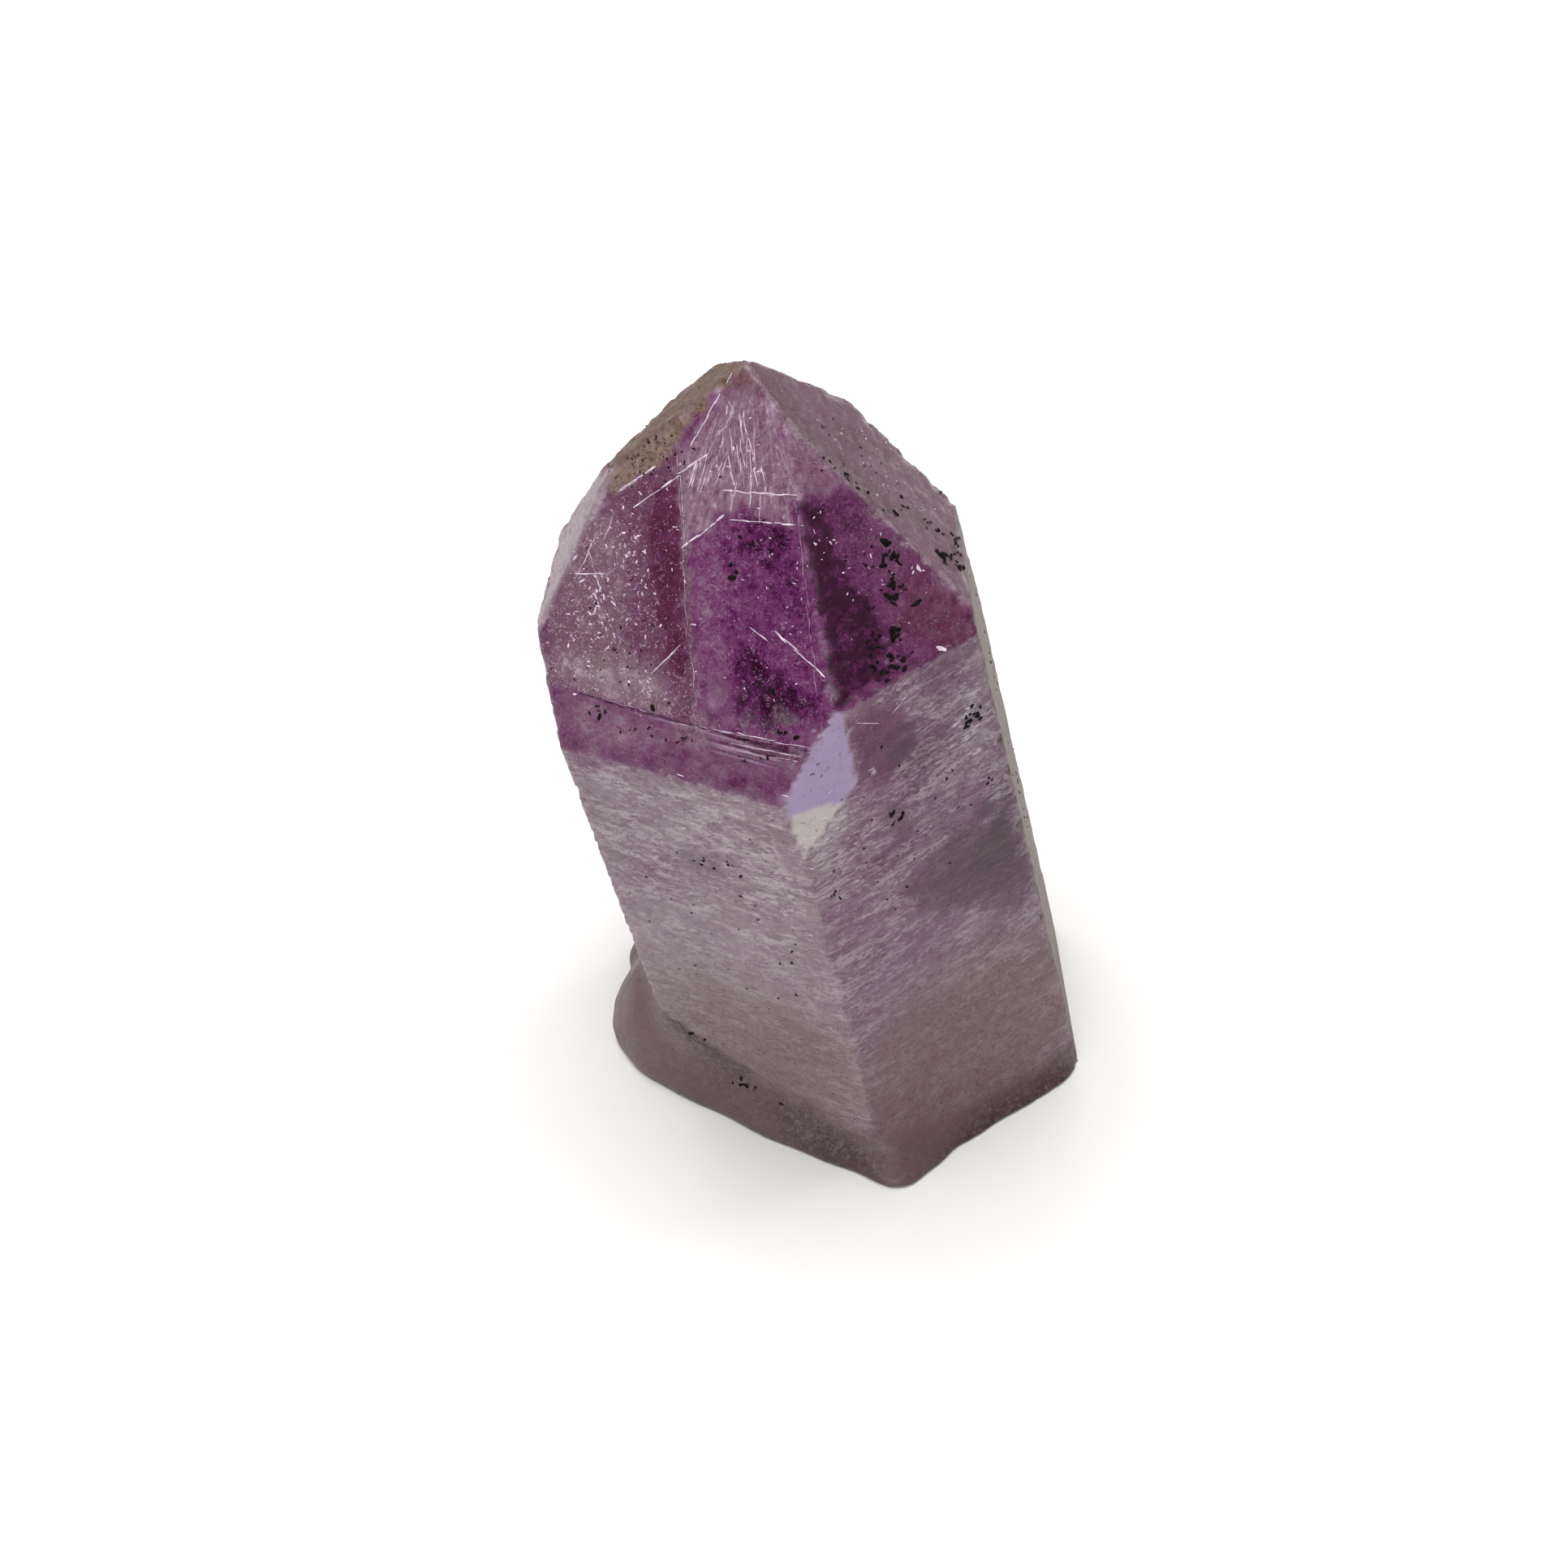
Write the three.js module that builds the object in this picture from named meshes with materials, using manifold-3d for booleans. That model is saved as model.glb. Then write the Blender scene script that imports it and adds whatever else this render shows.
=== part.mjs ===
// A smoky amethyst point: one quartz crystal, broken off at its foot and leaning a little to the left.
// Millimetres, +Z up. The crystal is first cut in its own frame, with its long axis along Z and its
// middle at the origin. Then it leans, rises onto its rounded foot and is cut off flat at Z = 0.

import * as THREE from 'three';
import { mergeVertices } from 'three/addons/utils/BufferGeometryUtils.js';
import Module from 'manifold-3d';

const wasm = await Module();
wasm.setup();

// Driving dimensions
const MIDDLE_HEIGHT = 25.6; // from the surface it stands on to the middle of the crystal
const LEAN_LEFT = 10.5; // degrees
const LEAN_BACK = 1.2;
const TURN = 2.5; // degrees from +X to the first side face
const SIDE_SLOPE = 90; // degrees from level
const TIP_SLOPE = 51.8; // the angle of every main tip face of quartz
const STEP_TILT = 1.3; // by how much the left half of the front tip face lies flatter
const LEDGE_DEPTH = 0.14; // of the fine ledges and grooves
const PIT_DEPTH = 0.18;
const STOCK = 90; // a block larger than the crystal
const CLEAR = 1; // how far a cutter stands out of the face that it cuts
const UP = new THREE.Vector3(0, 0, 1);

// Flat faces: the way each looks (azimuth), its slope and its distance from the middle
const face = (azimuth, slope, distance) => ({ azimuth, slope, distance });
const FACES = {
  sideRight: face(TURN + 1, SIDE_SLOPE - 2, 10.5),
  sideBackRight: face(TURN + 60, SIDE_SLOPE, 9.8),
  sideBackLeft: face(TURN + 120, SIDE_SLOPE, 10.4),
  sideLeft: face(TURN + 180, SIDE_SLOPE + 0.9, 10.75),
  sideFrontLeft: face(TURN + 239.7, SIDE_SLOPE - 0.2, 10.15),
  sideFrontRight: face(TURN + 299.6, SIDE_SLOPE + 0.4, 10.7),
  tipRight: face(TURN, TIP_SLOPE + 1.2, 13.2),
  tipBackRight: face(TURN + 60, TIP_SLOPE, 13.8),
  tipBackLeft: face(TURN + 120, TIP_SLOPE, 13.7),
  tipLeft: face(TURN + 180, TIP_SLOPE, 13.4),
  tipFrontLeft: face(TURN + 240.2, TIP_SLOPE, 10.4),
  tipFrontRight: face(TURN + 300.2, TIP_SLOPE - 0.3, 13),
  bandFrontLeft: face(TURN + 240, 59.3, 10.4),
  wornCap: face(TURN + 149, 36.4, 15),
  wornShoulderRight: face(TURN + 42.5, 75, 10.5),
  wornShoulderLeft: face(TURN + 137.5, 56, 12.85),
  wornShoulderLow: face(TURN + 162.5, 80, 11.3),
};
const SIDES = ['sideRight', 'sideBackRight', 'sideBackLeft', 'sideLeft', 'sideFrontLeft', 'sideFrontRight'];

// The notch at the top of the front edge: a bright upright facet over a small shelf that faces up
const NOTCH = [face(TURN + 293.7, 90.4, 10.8), face(TURN + 295.2, 84.2, 11)];

// The left half of the front tip face, flatter from the band up, and the line where it ends in a step
const LEFT_HALF = face(TURN + 240.2, TIP_SLOPE - STEP_TILT, 10.38);
const STEP_LINE = { across: 0.95, turn: 13.6 };

// The rounded foot, seen from above: x, y and the height where it meets the side faces
const FOOT_OUTLINE = [
  [6.4, -13.2, 2.1], [8.5, -11.8, 1.4], [10.3, -10.0, 1.0], [12.9, -8.2, 1.1], [16.2, -5.6, 1.4],
  [16.5, -2.5, 1.2], [16.1, 2.0, 1.0], [15.6, 5.6, 1.6], [10.3, 9.9, 2.8], [3.8, 13.0, 3.6],
  [-1.5, 10.6, 3.6], [-6.6, 7.0, 2.6], [-9.0, 4.2, 2.4], [-9.1, 1.2, 4.2], [-9.95, -1.6, 5.6],
  [-9.35, -4.15, 5.3], [-7.4, -6.0, 5.0], [-3.8, -8.3, 3.5], [0.0, -10.4, 2.7], [3.6, -12.2, 2.2],
];
const FOOT_CENTRE = new THREE.Vector2(3.5, 0);
const FOOT_SECTION = [
  [0, 0], [0.97, 0], [1, 0.12], [0.998, 0.26], [0.975, 0.45], [0.935, 0.65], [0.885, 0.85], [0.825, 1.04],
  [0.75, 1.18], [0, 1.2],
];
const FOOT_STEPS = 72;

const radians = THREE.MathUtils.degToRad;

// Seeded random numbers, so that the chips and lumps are the same every time
let seed = 11;
function random(low = 0, high = 1) {
  seed = (seed * 16807) % 2147483647;
  return low + (high - low) * (seed / 2147483647);
}

// Solids from geometries and back
function solid(geometry) {
  const merged = geometry.clone();
  merged.deleteAttribute('normal');
  merged.deleteAttribute('uv');
  const closed = mergeVertices(merged, 1e-5);
  return new wasm.Manifold(new wasm.Mesh({
    numProp: 3,
    vertProperties: new Float32Array(closed.attributes.position.array),
    triVerts: new Uint32Array(closed.index.array),
  }));
}

function geometryOf(body) {
  const mesh = body.getMesh();
  const geometry = new THREE.BufferGeometry();
  geometry.setAttribute('position', new THREE.BufferAttribute(new Float32Array(mesh.vertProperties), 3));
  geometry.setIndex(new THREE.BufferAttribute(new Uint32Array(mesh.triVerts), 1));
  return geometry;
}

// The frame of a flat face: X runs level across it, Y up its slope and Z straight out of it
function frameOf({ azimuth, slope, distance }) {
  const level = Math.sin(radians(slope));
  const out = new THREE.Vector3(Math.cos(radians(azimuth)) * level, Math.sin(radians(azimuth)) * level,
    Math.cos(radians(slope)));
  const across = new THREE.Vector3().crossVectors(UP, out).normalize();
  const upSlope = new THREE.Vector3().crossVectors(out, across);
  const frame = new THREE.Matrix4().makeBasis(across, upSlope, out);
  return frame.setPosition(out.multiplyScalar(distance));
}

// All that lies outside a flat face
function outside(flat) {
  const block = new THREE.BoxGeometry(STOCK, STOCK, STOCK);
  block.translate(0, 0, STOCK / 2);
  return solid(block.applyMatrix4(frameOf(flat)));
}

// The point at a given height along the crystal's axis on the edge between two faces
function onEdge(first, second, height) {
  const normals = [first, second].map((flat) => new THREE.Vector3().setFromMatrixColumn(frameOf(flat), 2));
  const rows = new THREE.Matrix3().set(...normals[0].toArray(), ...normals[1].toArray(), ...UP.toArray());
  return new THREE.Vector3(first.distance, second.distance, height).applyMatrix3(rows.invert());
}

// A chip broken out of an edge
function chip(place, size) {
  const flake = new THREE.DodecahedronGeometry(size);
  flake.rotateX(random(0, Math.PI));
  flake.rotateY(random(0, Math.PI));
  flake.scale(random(0.7, 1.1), random(0.7, 1.1), random(0.9, 1.8));
  flake.translate(place.x, place.y, place.z);
  return solid(flake);
}

// The flat-faced crystal
function crystalBlank() {
  let body = solid(new THREE.BoxGeometry(STOCK, STOCK, STOCK));
  for (const flat of Object.values(FACES)) body = body.subtract(outside(flat));
  return body.subtract(outside(NOTCH[0]).intersect(outside(NOTCH[1])));
}

// The step that parts the front tip face in two: the left half drops back towards the top
function frontTipStep(body) {
  const width = STOCK / 2;
  const leftSide = new THREE.BoxGeometry(width, STOCK, STOCK);
  leftSide.translate(-width / 2, 0, 0);
  leftSide.rotateZ(radians(STEP_LINE.turn));
  leftSide.translate(STEP_LINE.across, 0, 0);
  leftSide.applyMatrix4(frameOf(FACES.tipFrontLeft));
  return body.subtract(outside(LEFT_HALF).intersect(solid(leftSide)));
}

// Fine level ledges along the top of the band under the front tip face, at its right-hand end
function bandLedges(body) {
  const [across, length, width] = [4.6, 5.6, 0.14];
  for (const upSlope of [0.25, -0.05, -0.35]) {
    const ledge = new THREE.BoxGeometry(length, width, LEDGE_DEPTH + CLEAR);
    ledge.translate(across, upSlope, (CLEAR - LEDGE_DEPTH) / 2);
    body = body.subtract(solid(ledge.applyMatrix4(frameOf(FACES.bandFrontLeft))));
  }
  return body;
}

// A groove with pointed ends in a face: its middle in the face's frame, its length, width and depth
function groove(flat, across, upSlope, length, width, depth, turn) {
  const lens = new THREE.OctahedronGeometry(1);
  lens.scale(length / 2, width / 2, depth);
  lens.rotateZ(radians(turn));
  lens.translate(across, upSlope, 0);
  return solid(lens.applyMatrix4(frameOf(flat)));
}

// Growth grooves that run nearly level across the six side faces
function sideGrooves(body) {
  for (const name of SIDES) {
    for (let height = -21; height < 4; height += random(1.2, 3.2)) {
      const across = random(-4.5, 4.5);
      const length = random(1.5, 6);
      const width = random(0.25, 0.8);
      body = body.subtract(groove(FACES[name], across, height, length, width, LEDGE_DEPTH, random(-3, 3)));
    }
  }
  return body;
}

// Fields of three-sided growth pits: the face, the middle and top of the field on it, and how many
const PIT_FIELDS = [
  [LEFT_HALF, -4, 8, 14], [FACES.tipFrontLeft, 3.5, 8, 7], [FACES.tipFrontRight, 1.5, 5, 7],
  [FACES.tipRight, 0, 7, 6], [FACES.tipBackRight, 0, 6, 6], [FACES.tipBackLeft, 2, 3, 4],
];

function tipPits(body) {
  for (const [flat, middle, top, count] of PIT_FIELDS) {
    for (let i = 0; i < count; i += 1) {
      // Twice as deep as the pit, so that half of the cone stands out of the face
      const pit = new THREE.ConeGeometry(random(0.3, 0.7), 2 * PIT_DEPTH, 3);
      pit.rotateX(-Math.PI / 2);
      pit.translate(middle + random(-2.5, 2.5), random(0.5, top), 0);
      body = body.subtract(solid(pit.applyMatrix4(frameOf(flat))));
    }
  }
  return body;
}

// Worn places: the two faces that meet, the lowest and highest chip, how many and how large
const WORN_EDGES = [
  ['sideFrontLeft', 'sideFrontRight', -22, 2, 7, 0.3],
  ['sideFrontRight', 'sideRight', -24, 6, 8, 0.35],
  ['sideRight', 'sideBackRight', -24, 6, 8, 0.4],
  ['sideBackRight', 'sideBackLeft', -22, 6, 8, 0.45],
  ['sideBackLeft', 'sideLeft', -22, 6, 8, 0.4],
  ['sideLeft', 'sideFrontLeft', -16, 2, 6, 0.3],
  ['tipFrontLeft', 'tipFrontRight', 8, 17, 5, 0.22],
  ['tipFrontRight', 'tipRight', 9, 17, 7, 0.3],
  ['tipRight', 'tipBackRight', 12, 18, 5, 0.35],
  ['tipFrontLeft', 'wornCap', 15, 19, 6, 0.35],
  ['tipLeft', 'wornShoulderLeft', 9, 13, 4, 0.3],
  ['wornCap', 'tipBackLeft', 13, 16, 4, 0.35],
];

function wornEdges(body) {
  for (const [first, second, low, high, count, size] of WORN_EDGES) {
    for (let i = 0; i < count; i += 1) {
      const height = low + ((high - low) * (i + random(0.2, 0.8))) / count;
      const place = onEdge(FACES[first], FACES[second], height);
      body = body.subtract(chip(place, size * random(0.7, 1.4)));
    }
  }
  return body;
}

// The rounded foot: a collar whose outline and height follow the list above, with low swellings
function foot() {
  const points = FOOT_OUTLINE.map(([x, y, height]) => new THREE.Vector3(x, y, height));
  const outline = new THREE.CatmullRomCurve3(points, true);
  const section = FOOT_SECTION.map(([radius, height]) => new THREE.Vector2(radius, height));
  const collar = new THREE.LatheGeometry(section, FOOT_STEPS);
  collar.rotateX(Math.PI / 2);
  const position = collar.attributes.position;
  for (let i = 0; i < position.count; i += 1) {
    const radius = Math.hypot(position.getX(i), position.getY(i));
    const turn = Math.atan2(position.getY(i), position.getX(i)) / (2 * Math.PI);
    const along = (Math.round(turn * FOOT_STEPS) + FOOT_STEPS) % FOOT_STEPS;
    const rim = outline.getPoint(along / FOOT_STEPS);
    const wave = 1 + 0.006 * Math.sin(along * 0.9 + 2 * position.getZ(i))
      + 0.005 * Math.sin(along * 1.7 + 5 * position.getZ(i));
    position.setXYZ(i, FOOT_CENTRE.x + (rim.x - FOOT_CENTRE.x) * radius * wave,
      FOOT_CENTRE.y + (rim.y - FOOT_CENTRE.y) * radius * wave, rim.z * position.getZ(i));
  }
  return solid(collar);
}

// One body: the leaning crystal on its foot, cut off flat at the bottom
function amethystPoint() {
  let body = crystalBlank();
  for (const work of [frontTipStep, bandLedges, sideGrooves, tipPits, wornEdges]) body = work(body);
  const crystal = geometryOf(body);
  crystal.rotateX(radians(LEAN_BACK));
  crystal.rotateY(radians(-LEAN_LEFT));
  crystal.translate(0, 0, MIDDLE_HEIGHT);
  const ground = new THREE.BoxGeometry(STOCK, STOCK, STOCK);
  ground.translate(0, 0, -STOCK / 2);
  const whole = geometryOf(solid(crystal).add(foot()).subtract(solid(ground)));
  whole.computeBoundingBox();
  const middle = whole.boundingBox.getCenter(new THREE.Vector3());
  return whole.translate(-middle.x, -middle.y, 0);
}

const part = new THREE.Group();
const quartz = new THREE.MeshStandardMaterial({ color: 0x8a6f86, roughness: 0.18, metalness: 0 });
const crystal = new THREE.Mesh(amethystPoint(), quartz);
crystal.name = 'crystal';
part.add(crystal);

export default part;
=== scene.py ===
import math
import random

import bmesh
import bpy
import numpy as np
from mathutils import Matrix, Vector, noise
from mathutils.bvhtree import BVHTree


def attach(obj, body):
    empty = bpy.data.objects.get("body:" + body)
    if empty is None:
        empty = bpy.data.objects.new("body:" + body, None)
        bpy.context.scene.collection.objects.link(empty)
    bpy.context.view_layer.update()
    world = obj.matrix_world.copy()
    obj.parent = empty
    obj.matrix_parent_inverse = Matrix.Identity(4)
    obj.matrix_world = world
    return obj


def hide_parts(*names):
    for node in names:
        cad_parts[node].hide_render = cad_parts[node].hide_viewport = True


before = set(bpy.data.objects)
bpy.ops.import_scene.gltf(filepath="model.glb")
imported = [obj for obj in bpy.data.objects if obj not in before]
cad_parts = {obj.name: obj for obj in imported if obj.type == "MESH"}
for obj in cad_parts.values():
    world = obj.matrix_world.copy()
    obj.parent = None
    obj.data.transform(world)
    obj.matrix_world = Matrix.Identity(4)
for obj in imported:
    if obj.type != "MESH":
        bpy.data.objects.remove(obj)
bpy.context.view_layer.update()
MM = 0.001

# ---- The crystal's own frame, the same values as in the solid ----
MIDDLE = Vector((-2.347, 0.215, 25.6))
LEAN = Matrix.Rotation(math.radians(-10.5), 3, "Y") @ Matrix.Rotation(math.radians(1.2), 3, "X")
TURN = 2.5
FOOT_FLAT = 0.4  # the height over which the foot stays flat where it stands
STEP_ACROSS, STEP_TURN = 0.95, 13.6
CELL = 0.24  # the size of the finer copy's cells
# How often values are averaged with their neighbours' near the foot
FOOT_ROUNDS, HOLLOW_ROUNDS, MASK_ROUNDS = 16, 34, 50

# The way each face looks (azimuth), its slope from level and its distance from the middle
FACES = {
    "side_right": (TURN + 1, 88, 10.5),
    "side_back_right": (TURN + 60, 90, 9.8),
    "side_back_left": (TURN + 120, 90, 10.4),
    "side_left": (TURN + 180, 90.9, 10.75),
    "side_front_left": (TURN + 239.7, 89.8, 10.15),
    "side_front_right": (TURN + 299.6, 90.4, 10.7),
    "tip_right": (TURN, 53, 13.2),
    "tip_back_right": (TURN + 60, 51.8, 13.8),
    "tip_back_left": (TURN + 120, 51.8, 13.7),
    "tip_left": (TURN + 180, 51.8, 13.4),
    "tip_front": (TURN + 240.2, 51.8, 10.4),
    "tip_front_right": (TURN + 300.2, 51.5, 13),
    "band": (TURN + 240, 59.3, 10.4),
    "cap": (TURN + 149, 36.4, 15),
    "shoulder_right": (TURN + 42.5, 75, 10.5),
    "shoulder_left": (TURN + 137.5, 56, 12.85),
    "shoulder_low": (TURN + 162.5, 80, 11.3),
    "bright_facet": (TURN + 293.7, 90.4, 10.8),
    "shelf": (TURN + 295.2, 84.2, 11),
}
EXTRA = ("tip_step", "foot")  # the left half of the front tip face, and the foot
NAMES = list(FACES) + list(EXTRA)


def face_axes(name):
    """Level direction, up-slope direction, outward direction and origin of a face."""
    azimuth, slope, distance = FACES[name]
    a, s = math.radians(azimuth), math.radians(slope)
    out = Vector((math.cos(a) * math.sin(s), math.sin(a) * math.sin(s), math.cos(s)))
    across = Vector((0, 0, 1)).cross(out).normalized()
    up = out.cross(across)
    across, up, out = LEAN @ across, LEAN @ up, LEAN @ out
    return across, up, out, MIDDLE + out * distance


AXES = {name: face_axes(name) for name in FACES}
AXES["tip_step"] = AXES["tip_front"]


def place(name, across, up, out=0.0):
    """A point on a face, in metres."""
    a, u, n, origin = AXES[name]
    return (origin + a * across + u * up + n * out) * MM


# ---- Materials ----
# What is painted on the stone, as a number from 0 to 1 at each vertex; the pale tone on the bright facet is a
# painted reflection of the sky, and the stain on the foot and in its crease is partly painted shade
MASKS = ("violet", "maroon", "milk", "tan", "stain_and_shade", "frost", "layers", "pale", "flecks", "striae",
         "smoke", "fan")


def colour(code):
    """A colour written as in a paint chart, turned into linear values."""
    parts = [int(code[i : i + 2], 16) / 255 for i in (1, 3, 5)]
    return tuple(((c + 0.055) / 1.055) ** 2.4 if c > 0.04045 else c / 12.92 for c in parts) + (1.0,)


class Nodes:
    """Makes and links the nodes of one tree."""

    def __init__(self, tree):
        self.tree = tree

    def node(self, kind, **values):
        made = self.tree.nodes.new(kind)
        for key, value in values.items():
            setattr(made, key, value)
        return made

    def link(self, source, target):
        self.tree.links.new(source, target)

    def set(self, socket, value):
        if isinstance(value, bpy.types.NodeSocket):
            self.link(value, socket)
        else:
            socket.default_value = value

    def mask(self, name):
        return self.node("ShaderNodeAttribute", attribute_name=name).outputs["Fac"]

    def math(self, operation, a, b=0.0, clamp=False):
        made = self.node("ShaderNodeMath", operation=operation, use_clamp=clamp)
        self.set(made.inputs[0], a)
        self.set(made.inputs[1], b)
        return made.outputs[0]

    def range(self, value, low, high, to_low=0.0, to_high=1.0):
        made = self.node("ShaderNodeMapRange", interpolation_type="SMOOTHSTEP")
        self.set(made.inputs["Value"], value)
        for socket, number in zip(("From Min", "From Max", "To Min", "To Max"), (low, high, to_low, to_high)):
            self.set(made.inputs[socket], number)
        return made.outputs["Result"]

    def mix(self, factor, a, b):
        made = self.node("ShaderNodeMix", data_type="RGBA")
        self.set(made.inputs[0], factor)
        self.set(made.inputs[6], a)
        self.set(made.inputs[7], b)
        return made.outputs[2]

    def noise(self, vector, scale, detail=3.0, roughness=0.55, distortion=0.0):
        made = self.node("ShaderNodeTexNoise")
        self.link(vector, made.inputs["Vector"])
        settings = {"Scale": scale, "Detail": detail, "Roughness": roughness, "Distortion": distortion}
        for socket, number in settings.items():
            self.set(made.inputs[socket], number)
        return made.outputs["Fac"]

    def ramp(self, value, stops):
        made = self.node("ShaderNodeValToRGB")
        self.link(value, made.inputs["Fac"])
        elements = made.color_ramp.elements
        while len(elements) < len(stops):
            elements.new(0.5)
        for element, (position, code) in zip(elements, stops):
            element.position = position
            element.color = colour(code)
        return made.outputs["Color"]

    def bump(self, height, distance, strength=1.0, normal=None):
        made = self.node("ShaderNodeBump")
        self.link(height, made.inputs["Height"])
        self.set(made.inputs["Distance"], distance)
        made.inputs["Strength"].default_value = strength
        if normal is not None:
            self.link(normal, made.inputs["Normal"])
        return made.outputs["Normal"]


class Paint(Nodes):
    """One material, with its shader and its output."""

    def __init__(self, name):
        self.material = bpy.data.materials.new(name)
        self.material.use_nodes = True
        super().__init__(self.material.node_tree)
        self.tree.nodes.clear()
        self.output = self.node("ShaderNodeOutputMaterial")
        self.shader = self.node("ShaderNodeBsdfPrincipled")
        self.link(self.shader.outputs[0], self.output.inputs["Surface"])


def crystal_coordinates(paint, stretch):
    """Object coordinates in millimetres along the crystal's own axes, stretched."""
    place_in = paint.node("ShaderNodeTexCoord").outputs["Object"]
    mapping = paint.node("ShaderNodeMapping", vector_type="TEXTURE")
    mapping.inputs["Location"].default_value = MIDDLE * MM
    mapping.inputs["Rotation"].default_value = LEAN.to_euler()
    mapping.inputs["Scale"].default_value = [MM / s for s in stretch]
    paint.link(place_in, mapping.inputs["Vector"])
    return mapping.outputs["Vector"]


def face_coordinates(paint, name, stretch):
    """Object coordinates in millimetres along a face, stretched."""
    across, up, out, origin = AXES[name]
    mapping = paint.node("ShaderNodeMapping", vector_type="TEXTURE")
    mapping.inputs["Location"].default_value = origin * MM
    mapping.inputs["Rotation"].default_value = Matrix((across, up, out)).transposed().to_euler()
    mapping.inputs["Scale"].default_value = [MM / s for s in stretch]
    paint.link(paint.node("ShaderNodeTexCoord").outputs["Object"], mapping.inputs["Vector"])
    return mapping.outputs["Vector"]


def quartz_material():
    paint = Paint("smoky_amethyst_quartz")
    even = crystal_coordinates(paint, (1, 1, 1))

    clouds = paint.noise(even, 0.35, 4, 0.6)
    mottle = paint.noise(even, 1.5, 5, 0.65)
    fine = paint.noise(even, 3.4, 5, 0.75, 0.8)
    grain = paint.noise(even, 7.0, 3, 0.6)
    streaks = paint.noise(crystal_coordinates(paint, (0.55, 0.55, 1.9)), 0.9, 6, 0.78, 1.0)
    fibres = paint.noise(crystal_coordinates(paint, (1.1, 1.1, 3.0)), 1.7, 4, 0.7, 1.4)
    veils = paint.noise(crystal_coordinates(paint, (0.6, 0.6, 1.3)), 0.5, 5, 0.7, 0.3)
    lines = paint.noise(crystal_coordinates(paint, (0.5, 0.5, 7)), 0.9, 4, 0.6)

    mask = {name: paint.mask(name) for name in MASKS}
    violet, layers = mask["violet"], mask["layers"]

    def centred(value, amount):
        return paint.math("MULTIPLY", paint.math("SUBTRACT", value, 0.5), amount)

    # Amethyst colour, from smoky mauve to deep purple, broken up by clouds and grain
    broken_up = paint.math("MULTIPLY", centred(mottle, 1.2), paint.range(violet, 0.0, 0.5, 0.4, 1.0))
    depth = paint.math("ADD", violet, broken_up)
    depth = paint.math("ADD", depth, paint.math("MULTIPLY", centred(fibres, -1.4), layers))
    depth = paint.math("ADD", depth, centred(fine, 1.1))
    depth = paint.math("ADD", depth, centred(grain, 0.5))
    depth = paint.math("ADD", depth, centred(clouds, 0.4), clamp=True)
    purples = [(0.0, "#9a858f"), (0.25, "#845f7d"), (0.5, "#753e69"), (0.75, "#5f2257"), (1.0, "#300427")]
    tone = paint.ramp(depth, purples)
    maroon = paint.math("MULTIPLY", mask["maroon"], paint.range(mottle, 0.3, 0.7, 0.5, 1.0))
    reds = paint.mix(paint.range(fine, 0.35, 0.65), colour("#421022"), colour("#6b3149"))
    tone = paint.mix(maroon, tone, reds)
    smoke = paint.math("MULTIPLY", mask["smoke"], paint.range(veils, 0.3, 0.6, 1.0, 0.5))
    browns = paint.mix(paint.range(fibres, 0.38, 0.62), colour("#2a131e"), colour("#5d3848"))
    tone = paint.mix(smoke, tone, browns)

    # Milky growth layers that run level across the crystal
    woven = paint.math("ADD", paint.math("MULTIPLY", streaks, 0.6), paint.math("MULTIPLY", fibres, 0.4))
    in_veils = paint.range(veils, 0.38, 0.55, 0.05, 1.15)
    level_milk = paint.math("MULTIPLY", paint.range(woven, 0.46, 0.58), in_veils)
    level_milk = paint.math("MULTIPLY", level_milk, layers)
    cloud_milk = paint.math("MULTIPLY", paint.range(mottle, 0.45, 0.7), paint.math("SUBTRACT", 1.0, layers))
    veil = paint.math("MULTIPLY", paint.math("ADD", level_milk, cloud_milk), mask["milk"], clamp=True)
    tone = paint.mix(veil, tone, colour("#d6c9ce"))
    gaps = paint.math("MULTIPLY", paint.range(woven, 0.49, 0.42), paint.math("MULTIPLY", layers, 0.5))
    tone = paint.mix(gaps, tone, paint.mix(violet, colour("#6b5557"), colour("#4c2344")))

    # A pale, clear tone; on the bright facet its pale bluish lavender is a painted reflection of the sky
    clear = paint.math("MULTIPLY", mask["pale"], paint.range(mottle, 0.2, 0.6, 0.75, 1.0))
    tone = paint.mix(clear, tone, paint.mix(violet, colour("#e4dbd6"), colour("#bca4da")))

    # Fine pale growth lines along the narrow band
    striae = paint.noise(face_coordinates(paint, "band", (0.09, 4.2, 1.0)), 1.0, 2, 0.6)
    striae = paint.math("MULTIPLY", paint.range(striae, 0.48, 0.58), mask["striae"])
    tone = paint.mix(striae, tone, colour("#a98caa"))

    # Smoky brown skin, rusty stains, a dark brown in the crease and on the foot that is partly painted shade,
    # and small pale and dark flecks
    tan = paint.math("MULTIPLY", mask["tan"], paint.range(mottle, 0.25, 0.6, 0.6, 1.0))
    skin = paint.ramp(fine, [(0.35, "#3c261b"), (0.44, "#6b5242"), (0.6, "#8f7863")])
    tone = paint.mix(tan, tone, skin)
    rust_and_shade = paint.math("MULTIPLY", mask["stain_and_shade"], paint.range(fine, 0.34, 0.54), clamp=True)
    tone = paint.mix(rust_and_shade, tone, colour("#3a211d"))
    flecks = paint.noise(even, 4.4, 2, 0.5, 2.2)
    flecks = paint.math("MULTIPLY", paint.range(flecks, 0.6, 0.66), mask["flecks"])
    tone = paint.mix(flecks, tone, colour("#c2aebb"))
    shifted = paint.node("ShaderNodeVectorMath", operation="ADD")
    paint.link(even, shifted.inputs[0])
    shifted.inputs[1].default_value = (31, 17, 5)  # far enough that the dots don't follow the flecks
    dots = paint.noise(shifted.outputs[0], 5.2, 1, 0.5, 0.6)
    tone = paint.mix(paint.range(dots, 0.3, 0.26, 0.0, 0.75), tone, colour("#2b1618"))

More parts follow.
